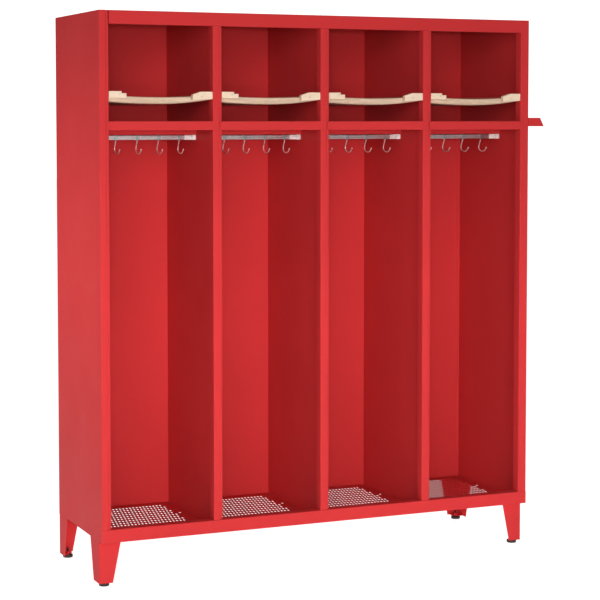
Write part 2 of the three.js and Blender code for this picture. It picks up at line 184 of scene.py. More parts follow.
def powder_coat(name, colour, weld_columns=()):
    """Satin powder coat: orange peel, slight waviness of the sheet, edges lightened partly as thin coat and
    partly as a painted highlight, and a little dust.
    """
    n = Nodes(name)
    blotch = n.ramp(n.noise(2.4, 3.0), 0.3, 0.7)
    tint = n.mix(blotch, shade(colour, 0.95), shade(colour, 1.05))
    grain = n.ramp(n.noise(700.0, 2.0), 0.35, 0.65)
    tint = n.mix(n.math("MULTIPLY", grain, 0.10), tint, shade(colour, 1.25))
    # Sharp edges are lightened in patches: partly thin coat, partly a painted highlight.
    worn_and_highlit = n.math("MULTIPLY", n.edges(0.0012), n.ramp(n.noise(38.0, 3.0), 0.45, 0.7, 0.15, 0.8))
    lighter = tuple(min(1.0, channel * 1.25 + 0.03) for channel in colour)
    tint = n.mix(n.math("MULTIPLY", worn_and_highlit, 0.5), tint, (*lighter, 1.0))
    dust = n.math("MULTIPLY", n.facing_up(), n.ramp(n.noise(9.0, 5.0, 0.65), 0.42, 0.78, 0.0, 0.08))
    tint = n.mix(dust, tint, (0.52, 0.44, 0.40, 1.0))
    smudge = n.ramp(n.noise(5.5, 5.0, 0.6, distortion=0.6), 0.35, 0.75, -0.04, 0.07)
    rough = n.math("ADD", n.math("ADD", n.ramp(grain, 0.0, 1.0, 0.44, 0.50), smudge), dust)
    normal = n.bump(n.noise(3.2, 1.0), 0.004, 0.25)
    normal = n.bump(n.noise(420.0, 2.0, 0.45), 0.00012, 0.55, below=normal)
    if weld_columns:
        normal = n.bump(weld_marks(n, weld_columns), 0.0006, 0.8, below=normal)
    return n.finish(tint, rough, normal, Coat_Weight=0.02, Coat_Roughness=0.35, Coat_IOR=1.5,
                    Specular_IOR_Level=0.03)


def weld_marks(n, columns, pitch=0.12, radius=0.004):
    """Shallow round spot-weld dents in vertical columns at the given X places."""
    split = n.add("ShaderNodeSeparateXYZ")
    n.link(n.place, split.inputs["Vector"])
    up = n.math("SUBTRACT", n.math("PINGPONG", split.outputs["Z"], pitch / 2), pitch / 4)
    dents = 1.0
    for x in columns:
        aside = n.math("SUBTRACT", split.outputs["X"], x)
        away = n.math("SQRT", n.math("ADD", n.math("MULTIPLY", aside, aside), n.math("MULTIPLY", up, up)))
        dents = n.math("MULTIPLY", dents, n.ramp(away, 0.5 * radius, radius))
    return dents


def beech(name, pale, deep, seed=0.0):
    """Lacquered beech with its grain along X and short dark flecks."""
    n = Nodes(name)
    mapping = n.add("ShaderNodeMapping")
    n.link(n.place, mapping.inputs["Vector"])
    mapping.inputs["Location"].default_value = (seed, seed * 0.37, seed * 0.11)
    mapping.inputs["Scale"].default_value = (1.0, 14.0, 14.0)
    along = mapping.outputs["Vector"]
    bands = n.ramp(n.noise(7.0, 4.0, 0.55, vector=along, distortion=0.35), 0.3, 0.72)
    fibre = n.ramp(n.noise(42.0, 3.0, 0.6, vector=along), 0.35, 0.68)
    fleck = n.ramp(n.noise(150.0, 1.0, 0.4, vector=n.stretched((1.0, 7.0, 7.0))), 0.62, 0.70)
    tint = n.mix(bands, (*pale, 1.0), (*deep, 1.0))
    tint = n.mix(n.math("MULTIPLY", fibre, 0.35), tint, shade(deep, 0.82))
    tint = n.mix(n.math("MULTIPLY", fleck, 0.45), tint, shade(deep, 0.55))
    handled = n.math("MULTIPLY", n.edges(0.0025), n.ramp(n.noise(60.0, 3.0), 0.4, 0.7, 0.1, 0.6))
    tint = n.mix(handled, tint, shade(pale, 1.05))
    rough = n.math("ADD", n.ramp(fibre, 0.0, 1.0, 0.40, 0.50), n.math("MULTIPLY", fleck, 0.15))
    normal = n.bump(fibre, 0.00015, 0.5)
    normal = n.bump(fleck, 0.0001, 0.6, below=normal)
    return n.finish(tint, rough, normal, Coat_Weight=0.25, Coat_Roughness=0.28)


def zinc(name, colour, roughness, spangle=90.0, stretch=(3.0, 60.0, 60.0), metallic=1.0):
    """Zinc-plated steel: faint spangle, drawn lines along X and smudges."""
    n = Nodes(name)
    spots = n.add("ShaderNodeSeparateColor")
    n.link(n.cells(spangle), spots.inputs["Color"])
    drawn = n.ramp(n.noise(30.0, 4.0, 0.6, vector=n.stretched(stretch)), 0.3, 0.7)
    tint = n.mix(spots.outputs["Red"], shade(colour, 0.88), shade(colour, 1.06))
    tint = n.mix(n.math("MULTIPLY", drawn, 0.3), tint, shade(colour, 0.72))
    rough = n.math("ADD", n.ramp(spots.outputs["Green"], 0.0, 1.0, roughness - 0.05, roughness + 0.06),
                   n.ramp(n.noise(14.0, 4.0), 0.35, 0.75, -0.02, 0.09))
    return n.finish(tint, rough, n.bump(drawn, 0.00006, 0.6), Metallic=metallic)


def moulded(name, colour, roughness):
    """Moulded plastic with a fine spark-eroded grain."""
    n = Nodes(name)
    grain = n.noise(900.0, 3.0, 0.6)
    tint = n.mix(n.ramp(n.noise(55.0, 3.0), 0.35, 0.7), shade(colour, 0.85), shade(colour, 1.3))
    rough = n.ramp(grain, 0.3, 0.7, roughness - 0.06, roughness + 0.08)
    return n.finish(tint, rough, n.bump(grain, 0.00015, 0.5))


# ----------------------------------------------------------------- geometry


def piece(name, points, faces, material, body="cabinet", replaces=(), smooth=True):
    """A mesh object that rides on a body, with its faces turned outwards."""
    mesh = bpy.data.meshes.new(name)
    mesh.from_pydata([tuple(point) for point in points], [], faces)
    work = bmesh.new()
    work.from_mesh(mesh)
    bmesh.ops.remove_doubles(work, verts=work.verts, dist=1e-6)
    bmesh.ops.recalc_face_normals(work, faces=work.faces)
    work.to_mesh(mesh)
    work.free()
    mesh.materials.append(material)
    for face in mesh.polygons:
        face.use_smooth = smooth
    made = bpy.data.objects.new(name, mesh)
    bpy.context.scene.collection.objects.link(made)
    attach(made, body)
    if replaces:
        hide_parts(*replaces)
    return made


# Width of the rounding on the sharp edges of each kind of piece.
EDGE = {"leg": 0.6 * MM, "board": 0.8 * MM, "cleat": 1.2 * MM, "socket": 0.6 * MM,
        "sleeve": 0.2 * MM, "band": 0.25 * MM, "nut": 0.4 * MM}


def soften(made, width, segments=3, angle=35.0):
    """Rounds the sharp edges of a piece."""
    bevel = made.modifiers.new("rounded edges", "BEVEL")
    bevel.width = width
    bevel.segments = segments
    bevel.limit_method = "ANGLE"
    bevel.angle_limit = math.radians(angle)
    bevel.harden_normals = True
    return made


def extruded(outline, start, stop, place):
    """Points and faces of a closed outline run between two ends; place(a, b, run) gives a point."""
    count = len(outline)
    points = [place(a, b, start) for a, b in outline] + [place(a, b, stop) for a, b in outline]
    faces = [list(range(count)), list(range(2 * count - 1, count - 1, -1))]
    faces += [[i, i + count, (i + 1) % count + count, (i + 1) % count] for i in range(count)]
    return points, faces


def turned(profile, centre, segments=40):
    """Points and faces of a profile of (radius, height) turned about a vertical line."""
    points, rings = [], []
    for radius, height in profile:
        if radius < 1e-7:
            rings.append([len(points)])
            points.append(centre + Vector((0, 0, height)))
            continue
        rings.append(list(range(len(points), len(points) + segments)))
        for k in range(segments):
            turn = 2 * math.pi * k / segments
            points.append(centre + Vector((radius * math.cos(turn), radius * math.sin(turn), height)))
    faces = []
    for low, high in zip(rings, rings[1:]):
        for k in range(segments):
            j = (k + 1) % segments
            ring = [low[k % len(low)], low[j % len(low)], high[j % len(high)], high[k % len(high)]]
            faces.append(list(dict.fromkeys(ring)))
    return points, faces


def swept(path, radii, sides=14):
    """Points and faces of a round wire along a path that stays in one plane of constant X."""
    points, faces = [], []
    for i, (at, radius) in enumerate(zip(path, radii)):
        ahead = (path[min(i + 1, len(path) - 1)] - path[max(i - 1, 0)]).normalized()
        across = Vector((1, 0, 0))
        normal = ahead.cross(across)
        for k in range(sides):
            turn = 2 * math.pi * k / sides
            points.append(at + radius * (math.cos(turn) * across + math.sin(turn) * normal))
    for i in range(len(path) - 1):
        for k in range(sides):
            j = (k + 1) % sides
            faces.append([i * sides + k, i * sides + j, (i + 1) * sides + j, (i + 1) * sides + k])
    faces.append(list(range(sides)))
    faces.append(list(range((len(path) - 1) * sides, len(path) * sides)))
    return points, faces


def rounded_outline(corners, radii, steps=5):
    """A closed outline with each corner rounded by its own radius."""
    outline = []
    for i, (corner, radius) in enumerate(zip(corners, radii)):
        here = Vector(corner)
        before = (Vector(corners[i - 1]) - here).normalized()
        after = (Vector(corners[(i + 1) % len(corners)]) - here).normalized()
        if radius == 0:
            outline.append(tuple(here))
            continue
        half = before.angle(after) / 2
        reach = radius / math.tan(half)
        centre = here + (before + after).normalized() * radius / math.sin(half)
        first, last = here + before * reach - centre, here + after * reach - centre
        for k in range(steps + 1):
            spoke = first.lerp(last, k / steps).normalized() * radius
            outline.append(tuple(centre + spoke))
    return outline


# ------------------------------------------------------------- sheet metal

RED = (0.56, 0.034, 0.036)
WELD_INSET = {"side": 8 * MM, "partition": 9 * MM}


def paint_cabinet():
    """Powder coat on every sheet part that keeps its CAD shape."""
    coat = powder_coat("red_powder_coat", RED)
    walls = [LEFT + WELD_INSET["side"], RIGHT - WELD_INSET["side"]]
    walls += [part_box(f"partition_{i}")[1].x - WELD_INSET["partition"] for i in range(1, 4)]
    rear = powder_coat("red_powder_coat_spot_welded", RED, weld_columns=walls)
    for name, node in NODES.items():
        if name.startswith(("side_panel", "top_panel", "frame_", "partition", "shelf", "leg_", "joining")):
            node.data.materials[0] = coat
    NODES["rear_panel"].data.materials[0] = rear
    for depth, side in CORNERS:
        leg = NODES[f"leg_{depth}_{side}"]
        leg.modifiers.new("joined points", "WELD").merge_threshold = 1e-6
        soften(leg, EDGE["leg"], 2)
    return coat


# --------------------------------------------------------------- perforated floor

SLOT_PITCH = 12.2 * MM
ROW_PITCH = 31.0 * MM
SLOT_WIDTH = 6.4 * MM
SLOT_LENGTH = 17.0 * MM
FIELD_FRONT = 112 * MM
FIELD_BACK = 14 * MM
FIELD_LEFT = 22 * MM
FIELD_RIGHT = 38 * MM
FOLD_INSET = 16 * MM
SHEET = 1.0 * MM
SPARE_HOLE = {"radius": 5 * MM, "from_wall": 24 * MM, "y": 60 * MM, "clear": 12 * MM}


def slotted_cell(x, y, width, depth, hole):
    """Faces of one cell of the sheet around a hole, as loops of (x, y)."""
    rim = [(x + a * width / 2, y + b * depth / 2)
           for a, b in ((1, 0), (1, 1), (0, 1), (-1, 1), (-1, 0), (-1, -1), (0, -1), (1, -1))]
    edge = hole(x, y)
    step = len(edge) // len(rim)
    loops = []
    for i, corner in enumerate(rim):
        inner = [edge[(i * step + k) % len(edge)] for k in range(step + 1)]
        loops.append([corner, rim[(i + 1) % len(rim)]] + inner[::-1])
    return loops


def slot_edge(x, y, count=16):
    """Rim of an oblong slot with round ends, long from front to back."""
    straight = SLOT_LENGTH / 2 - SLOT_WIDTH / 2
    edge = []
    for k in range(count):
        turn = 2 * math.pi * k / count
        lift = straight * (1 if math.sin(turn) > 1e-9 else -1 if math.sin(turn) < -1e-9 else 0)
        edge.append((x + SLOT_WIDTH / 2 * math.cos(turn), y + lift + SLOT_WIDTH / 2 * math.sin(turn)))
    return edge


def round_edge(x, y, count=32):
    """Rim of the round spare hole."""
    turns = [2 * math.pi * k / count for k in range(count)]
    radius = SPARE_HOLE["radius"]
    return [(x + radius * math.cos(turn), y + radius * math.sin(turn)) for turn in turns]


def slotted_field(left, right, front, rows, columns):
    """Faces of the staggered rows of slots, with plain half cells at both ends of every second row."""
    loops = []
    for row in range(rows):
        y = front + (row + 0.5) * ROW_PITCH
        low, high = y - ROW_PITCH / 2, y + ROW_PITCH / 2
        shifted = row % 2
        for column in range(columns - shifted):
            x = left + (column + 0.5 + 0.5 * shifted) * SLOT_PITCH
            loops += slotted_cell(x, y, SLOT_PITCH, ROW_PITCH, slot_edge)
        if shifted:
            for x0 in (left, right - SLOT_PITCH / 2):
                x1 = x0 + SLOT_PITCH / 2
                loops.append([(x0, low), (x1, low), (x1, high), (x0, high)])
    return loops


def folded_ends(low, high, start):
    """Points and faces of the strips folded down along the front and the back."""
    points, faces = [], []
    x0, x1 = low.x + FOLD_INSET, high.x - FOLD_INSET
    for y in (low.y, high.y):
        faces.append([start + len(points) + k for k in range(4)])
        points += [(x0, y, high.z), (x1, y, high.z), (x1, y, low.z), (x0, y, low.z)]
    return points, faces


def perforated_floor(bay, coat):
    """Floor sheet with staggered rows of slots, one round hole beside them and folded ends."""
    low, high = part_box(f"floor_panel_{bay}")
    columns = int((high.x - FIELD_RIGHT - low.x - FIELD_LEFT) / SLOT_PITCH)
    rows = int((high.y - FIELD_BACK - low.y - FIELD_FRONT) / ROW_PITCH)
    right = high.x - FIELD_RIGHT
    left = right - columns * SLOT_PITCH
    front = low.y + FIELD_FRONT
    back = front + rows * ROW_PITCH
    loops = slotted_field(left, right, front, rows, columns)
    ends = [left + k * SLOT_PITCH / 2 for k in range(2 * columns + 1)]
    loops.append([(low.x, low.y), (right, low.y)] + [(x, front) for x in ends[::-1]] + [(low.x, front)])
    loops.append([(x, back) for x in ends] + [(right, high.y), (low.x, high.y), (low.x, back)])
    side = [front + k * ROW_PITCH / 2 for k in range(2 * rows + 1)]
    loops.append([(low.x, front)] + [(left, y) for y in side] + [(low.x, back)])
    loops += beside_field(right, low.y, high, side)
    points, faces = [], []
    for loop in loops:
        faces.append(list(range(len(points), len(points) + len(loop))))
        points += [(x, y, high.z) for x, y in loop]
    fold_points, fold_faces = folded_ends(low, high, len(points))
    made = piece(f"perforated_floor_{bay}", points + fold_points, faces + fold_faces, coat,
                 replaces=[f"floor_panel_{bay}"], smooth=False)
    turn_up(made)
    sheet = made.modifiers.new("sheet thickness", "SOLIDIFY")
    sheet.thickness = SHEET
    sheet.offset = -1
    return made


def beside_field(left, front, high, side):
    """Faces of the plain strip between the slotted field and the wall, around its spare hole."""
    x, y, clear = high.x - SPARE_HOLE["from_wall"], SPARE_HOLE["y"], SPARE_HOLE["clear"]
    inner, outer = x - clear, x + clear
    low, top = y - clear, y + clear
    split = min(side, key=lambda at: abs(at - top))
    loops = slotted_cell(x, y, 2 * clear, 2 * clear, round_edge)
    loops.append([(left, front), (high.x, front), (high.x, low), (outer, low), (x, low), (inner, low),
                  (inner, y), (inner, top)] + [(left, at) for at in side[::-1] if at <= split])
    loops.append([(inner, top), (x, top), (outer, top), (high.x, top), (high.x, high.y), (left, high.y)]
                 + [(left, at) for at in side[::-1] if at >= split])
    loops.append([(outer, low), (high.x, low), (high.x, top), (outer, top), (outer, y)])
    return loops


def turn_up(made):
    """Turns the faces of an open sheet so that its flat part faces up."""
    work = bmesh.new()
    work.from_mesh(made.data)
    bmesh.ops.recalc_face_normals(work, faces=work.faces)
    flat = max(work.faces, key=lambda face: face.calc_area())
    if flat.normal.z < 0:
        bmesh.ops.reverse_faces(work, faces=work.faces)
    work.to_mesh(made.data)
    work.free()


# -------------------------------------------------------------- helmet rests

BOARD = 22 * MM
BOARD_TAPER = 9 * MM
NOSE = {"under": 8 * MM, "over": 4 * MM}
BOARD_SAG = 8 * MM
FRONT_SWEEP = 6 * MM
SAG_SPAN = (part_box("partition_2")[0].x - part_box("partition_1")[0].x) / 2
STILE_GAP = 1.6 * MM
NOSE_STEPS = 5
SCREW_RADIUS = 2.4 * MM
SCREW_PROUD = 0.35 * MM
SCREW_HEIGHT = 12 * MM
SCREW_ASIDE = {"left": 6 * MM, "right": -4 * MM}


def helmet_rest(bay, wood):
    """Board that sags towards its middle and thins to the right, narrowed between the stiles."""
    low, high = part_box(f"helmet_rest_{bay}")
    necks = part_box(f"rest_cleat_left_{bay}")[0].x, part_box(f"rest_cleat_right_{bay}")[1].x
    centre, half = sum(necks) / 2, (necks[1] - necks[0]) / 2
    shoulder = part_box("frame_stile_left")[1].y + STILE_GAP

    def heights(x):
        t = (x - centre) / SAG_SPAN
        rise = min(BOARD_SAG * t * t, high.z - low.z - BOARD)
        return low.z + rise + (BOARD_TAPER * t * t if t > 0 else 0), low.z + rise + BOARD

    points, faces = [], []
    columns = 46
    radii = [NOSE["under"], 0, 0, 0, 0, NOSE["over"]]
    for i in range(columns + 1):
        x = necks[0] + (necks[1] - necks[0]) * i / columns
        front = low.y + FRONT_SWEEP * (1 - ((x - centre) / half) ** 2)
        under, over = heights(x)
        corners = [(front, under), (shoulder, under), (high.y, under),
                   (high.y, over), (shoulder, over), (front, over)]
        points += [(x, y, z) for y, z in rounded_outline(corners, radii, NOSE_STEPS)]
    ring = len(points) // (columns + 1)
    for i in range(columns):
        for k in range(ring):
            j = (k + 1) % ring
            faces.append([i * ring + k, i * ring + j, (i + 1) * ring + j, (i + 1) * ring + k])
    # Each ring runs from the nose's lower points over the four flat corners to its upper points.
    wide = NOSE_STEPS + 1
    for x, neck in ((low.x, 0), (high.x, columns * ring)):
        end = len(points)
        under, over = heights(x)
        points += [(x, shoulder, under), (x, high.y, under), (x, high.y, over), (x, shoulder, over)]
        faces += [[end + k, end + (k + 1) % 4, neck + wide + (k + 1) % 4, neck + wide + k]
                  for k in range(4)]
        faces.append([end + k for k in range(4)])
        faces.append([neck + k for k in range(ring) if k not in (wide + 1, wide + 2)])
    made = piece(f"rest_board_{bay}", points, faces, wood,
                 replaces=[f"helmet_rest_{bay}"], smooth=False)
    smooth_by_angle(made, 35)
    return soften(made, EDGE["board"], 2, 60)


def finish_cleats(wood, screws):
    """Rounds the cleats' edges and sinks a countersunk screw into each."""
    for bay in BAYS:
        for side in ("left", "right"):
            name = f"rest_cleat_{side}_{bay}"
            NODES[name].data.materials[0] = wood
            NODES[name].modifiers.new("joined points", "WELD").merge_threshold = 1e-6
            soften(NODES[name], EDGE["cleat"])
            low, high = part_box(name)
            along = (low.x + high.x) / 2 + SCREW_ASIDE[side]
            screw_head(f"{name}_screw", Vector((along, low.y, low.z + SCREW_HEIGHT)), screws)


def screw_head(name, at, metal):
    """Countersunk screw head with a round recess, facing the front."""
    profile = [(0, -1.3), (0.55, -1.2), (0.8, -0.15), (2.6, -0.15),
               (3.4, 0.0), (3.2, 0.35), (1.2, 2.2), (0, 2.4)]
    scale = SCREW_RADIUS / 3.4
    points, faces = turned([(r * scale, z * scale) for r, z in profile], Vector((0, 0, 0)), 24)
    points = [at + Vector((p.x, p.z - SCREW_PROUD, p.y)) for p in points]
    return piece(name, points, faces, metal)


# ------------------------------------------------------------- rails and hooks

TUBE_WALL = 1.2 * MM
TUBE_SLOT = 4.6 * MM
SOCKET_WALL = 1.0 * MM
SOCKET_LENGTH = 13 * MM
SLEEVE = {"length": 26 * MM, "gap": 2 * MM, "wall": 0.3 * MM}
GROOVE = {"dip": 0.7 * MM, "reach": 1.6 * MM}

# Corner radii of the sections that are run along the rail.
CORNER = {"rail": 3 * MM, "rail_inside": 1.8 * MM, "socket": 4 * MM, "sleeve": 3.3 * MM,
          "band": 4 * MM, "band_inside": 3.3 * MM, "groove": 0.4 * MM, "groove_floor": 0.2 * MM}


def hook_rail(bay, steel, socket_plastic):
    """Slotted rail with a rolled groove along each face, a socket on each end and a sleeve."""
    low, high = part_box(f"hook_rail_{bay}")
    y, half = (low.y + high.y) / 2, (high.y - low.y) / 2 - SOCKET_WALL
    bottom, top = low.z + SOCKET_WALL, high.z - SOCKET_WALL
    points, faces = extruded(c_section(y, half, bottom, top), low.x, high.x, along_rail)
    rail = piece(f"rail_{bay}", points, faces, steel,
                 replaces=[f"hook_rail_{bay}"], smooth=False)
    smooth_by_angle(rail)
    socket_ends = {"left": (low.x, low.x + SOCKET_LENGTH), "right": (high.x - SOCKET_LENGTH, high.x)}
    for side, ends in socket_ends.items():
        made = rounded_bar(f"rail_socket_{side}_{bay}", ends, y, half + SOCKET_WALL, low.z, high.z,
                           CORNER["socket"], socket_plastic)
        soften(made, EDGE["socket"], 2)
    stop = high.x - SOCKET_LENGTH - SLEEVE["gap"]
    wall = SLEEVE["wall"]
    sleeve = rounded_bar(f"rail_sleeve_{bay}", (stop - SLEEVE["length"], stop), y, half + wall,
                         bottom - wall, top + wall, CORNER["sleeve"], socket_plastic)
    soften(sleeve, EDGE["sleeve"], 2)


def along_rail(y, z, x):
    """Point of a section in (y, z) that is run along X."""
    return Vector((x, y, z))


def rounded_bar(name, ends, y, half, low, high, radius, material):
    """A bar with a rounded rectangular section, run between two X places."""
    box = [(y - half, low), (y + half, low), (y + half, high), (y - half, high)]
    points, faces = extruded(rounded_outline(box, [radius] * 4), *ends, along_rail)
    return piece(name, points, faces, material, smooth=False)


def c_section(y, half, bottom, top):
    """Outline of the rail's wall, open along the slot, in (y, z)."""
    middle = (bottom + top) / 2
    dip, reach = GROOVE["dip"], GROOVE["reach"]
    groove_radii = [CORNER["groove"], CORNER["groove_floor"], CORNER["groove_floor"], CORNER["groove"]]

    def side(sign, inset):
        wall = y + sign * (half - inset)
        groove = [(wall, middle - reach), (wall - sign * dip, middle - reach / 3),
                  (wall - sign * dip, middle + reach / 3), (wall, middle + reach)]
        return groove

    def ring(inset, radius):
        b, t, w = bottom + inset, top - inset, half - inset
        corners = [(y + TUBE_SLOT / 2, b), (y + w, b)] + side(1, inset) + [(y + w, t), (y - w, t)]
        corners += side(-1, inset)[::-1] + [(y - w, b), (y - TUBE_SLOT / 2, b)]
        radii = [0, radius] + groove_radii + [radius, radius] + groove_radii + [radius, 0]
        return rounded_outline(corners, radii, 4)

    return ring(0, CORNER["rail"]) + ring(TUBE_WALL, CORNER["rail_inside"])[::-1]


def smooth_by_angle(made, angle=30.0):
    """Smooth shading that breaks at sharp edges."""
    for face in made.data.polygons:
        face.use_smooth = True
    work = bmesh.new()
    work.from_mesh(made.data)
    for edge in work.edges:
        edge.smooth = len(edge.link_faces) == 2 and edge.calc_face_angle() < math.radians(angle)
    work.to_mesh(made.data)
    work.free()
    return made


WIRE_RADIUS = 1.6 * MM
TIP_RADIUS = 2.3 * MM
BALL_POLE = 0.03 * MM
BEND_REACH = 26 * MM
BEND_DROP = 15 * MM
HOOK_LEAN = 13 * MM
TIP_HEIGHT = 16 * MM
TIP_AHEAD = 1 * MM
WIRE_START = 0.8 * MM
WIRE_PULL = {"top": 8 * MM, "heel": 10 * MM}
BAND_LENGTH = 12 * MM
BAND_WALL = 0.8 * MM
BAND_INNER = 6.4 * MM
BAND_DROP = 0.4 * MM
BOSS_OVERLAP = 0.1 * MM


def coat_hook(bay, number, wire, steel):
    """Bent wire hook with a ball tip, hanging from a band around the rail."""
    body = f"hook_{bay}_{number}"
    low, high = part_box(body)
    rail_low, rail_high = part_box(f"hook_rail_{bay}")
    x, y = (low.x + high.x) / 2, (rail_low.y + rail_high.y) / 2
    under = rail_low.z + SOCKET_WALL
    bend = Vector((x, y + HOOK_LEAN - BEND_REACH, low.z + WIRE_RADIUS + BEND_DROP))
    top = Vector((x, y, under - WIRE_START))
    heel = bend + Vector((0, BEND_REACH, 0))
    up = Vector((0, 0, 1))
    path = curve(top, top - WIRE_PULL["top"] * up, heel + WIRE_PULL["heel"] * up, heel, 10)
    path += [bend + Vector((0, BEND_REACH * math.cos(a), -BEND_DROP * math.sin(a)))
             for a in (math.pi * k / 26 for k in range(1, 27))]
    tip = Vector((x, bend.y - BEND_REACH - TIP_AHEAD, low.z + TIP_HEIGHT))
    path, radii = ball_ended(path, tip)
    points, faces = swept(path, radii)
    piece(f"coat_{body}", points, faces, wire, body=body, replaces=[body])
    band(body, x, y, under, high.z, steel)


def curve(start, first, second, stop, steps):
    """Points along a cubic Bezier curve, without its last one."""
    path = []
    for k in range(steps):
        t = k / steps
        u = 1 - t
        path.append(u ** 3 * start + 3 * u * u * t * first + 3 * u * t * t * second + t ** 3 * stop)
    return path


def ball_ended(path, tip):
    """The path run on to a tip, with the radii that give it a ball end."""
    neck = path[-1]
    path = path + [neck + (tip - neck) * k / 3 for k in range(1, 4)]
    radii = [WIRE_RADIUS] * len(path)
    ahead = (tip - neck).normalized()
    centre = tip + ahead * TIP_RADIUS * 0.7
    for k in range(1, 10):
        turn = math.radians(225 - 22.5 * k)
        path.append(centre - ahead * TIP_RADIUS * math.cos(math.pi - turn))
        ball = max(BALL_POLE, TIP_RADIUS * math.sin(math.pi - turn))
        radii.append(ball if turn < math.pi else WIRE_RADIUS)
    return path, radii


def band(body, x, y, under, top, metal):
    """Band that wraps the rail and carries the wire, with a boss where the wire is welded on."""
    inner, outer = BAND_INNER, BAND_INNER + BAND_WALL
    floor, ceiling = under - BAND_DROP, top - BAND_WALL
    base = floor - BAND_WALL
    box = [(y - outer, base), (y + outer, base), (y + outer, top), (y - outer, top)]
    hollow = [(y - inner, floor), (y + inner, floor), (y + inner, ceiling), (y - inner, ceiling)]
    outside = rounded_outline(box, [CORNER["band"]] * 4)
    inside = rounded_outline(hollow, [CORNER["band_inside"]] * 4)
    count = len(outside)
    points, faces = [], []
    for end in (x - BAND_LENGTH / 2, x + BAND_LENGTH / 2):
        points += [(end, a, b) for a, b in outside] + [(end, a, b) for a, b in inside]
    for k in range(count):
        j = (k + 1) % count
        for first, second in ((0, count), (count, 3 * count), (3 * count, 2 * count), (2 * count, 0)):
            faces.append([first + k, first + j, second + j, second + k])
    made = piece(f"band_{body}", points, faces, metal, body=body, smooth=False)
    soften(made, EDGE["band"], 2)
    profile = [(0, 0), (3.0, 0), (3.0, -1.2), (2.4, -2.2), (1.7, -2.6), (0, -2.6)]
    centre = Vector((x, y, base + BOSS_OVERLAP))
    points, faces = turned([(r * MM, z * MM) for r, z in profile], centre, 24)
    boss = piece(f"boss_{body}", points, faces, metal, body=body, smooth=False)
    smooth_by_angle(boss)


# -------------------------------------------------------------- legs and feet

NUT = {"base": 14 * MM, "height": 6.5 * MM, "corner": 7.5 * MM, "bore": 4.3 * MM}

# Thread of the stem, in millimetres: pitch, radii and the height of its first turn.
THREAD = {"pitch": 1.25, "root": 3.35, "crest": 3.95, "first": 12.0}


def levelling_foot(depth, side, plastic, steel):
    """Ribbed round pad on a threaded stem."""
    body = f"foot_{depth}_{side}"
    low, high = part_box(body)
    centre = Vector(((low.x + high.x) / 2, (low.y + high.y) / 2, 0))
    pad = [(0, 0), (14.5, 0), (16.2, 0.6), (17, 2), (17, 4.2), (16.4, 4.8), (16.4, 5.4), (17, 6), (17, 8.2),
           (16.2, 9.6), (13.5, 10.8), (8, 11.3), (6.5, 11.7), (0, 11.7)]
    points, faces = turned([(r * MM, z * MM) for r, z in pad], centre, 48)
    made = piece(f"pad_{depth}_{side}", points, faces, plastic, body=body,
                 replaces=[body], smooth=False)
    smooth_by_angle(made, 40)
    pitch, root, crest, first = THREAD["pitch"], THREAD["root"], THREAD["crest"], THREAD["first"]
    stem = [(0, 10.5), (root, 10.5)]
    turns = int((high.z / MM - first - 1) / pitch)
    for k in range(turns):
        z = first + k * pitch
        stem += [(root, z), (crest, z + 0.45 * pitch), (crest, z + 0.55 * pitch), (root, z + pitch)]
    stem += [(3.0, high.z / MM), (0, high.z / MM)]
    points, faces = turned([(r * MM, z * MM) for r, z in stem], centre, 24)
    piece(f"stem_{depth}_{side}", points, faces, steel, body=body, smooth=False)


def regular_ring(radius, count):
    """Evenly spaced points of a circle round the origin."""
    turns = [math.radians(360 / count * k) for k in range(count)]
    return [(radius * math.cos(turn), radius * math.sin(turn)) for turn in turns]


def weld_nut(depth, side, coat):
    """Painted hexagon nut welded over the hole in the leg's foot plate."""
    low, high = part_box(f"foot_{depth}_{side}")
    x, y = (low.x + high.x) / 2, (low.y + high.y) / 2
    hexagon = regular_ring(NUT["corner"], 6)
    bore = regular_ring(NUT["bore"], 24)
    points, faces = [], []
    for z in (NUT["base"], NUT["base"] + NUT["height"]):
        points += [(x + a, y + b, z) for a, b in hexagon] + [(x + a, y + b, z) for a, b in bore]
    for offset in (0, 30):
        for k in range(6):
            inner = [offset + 6 + (4 * k + j) % 24 for j in range(5)]
            faces.append([offset + k, offset + (k + 1) % 6] + inner[::-1])
    faces += [[k, (k + 1) % 6, 30 + (k + 1) % 6, 30 + k] for k in range(6)]
    faces += [[6 + k, 6 + (k + 1) % 24, 36 + (k + 1) % 24, 36 + k] for k in range(24)]
    made = piece(f"nut_{depth}_{side}", points, faces, coat, smooth=False)
    soften(made, EDGE["nut"], 2)


# --------------------------------------------------------------- the studio


def area_light(name, place, target, size, power, spread=180):
    """A soft rectangular light aimed at a target; a smaller spread makes a narrower beam."""
    light = bpy.data.lights.new(name, "AREA")
    light.shape = "RECTANGLE"
    light.size, light.size_y = size
    light.energy = power
    light.spread = math.radians(spread)
    made = bpy.data.objects.new(name, light)
    made.location = place
    made.rotation_euler = (Vector(target) - Vector(place)).to_track_quat("-Z", "Y").to_euler()
    bpy.context.scene.collection.objects.link(made)


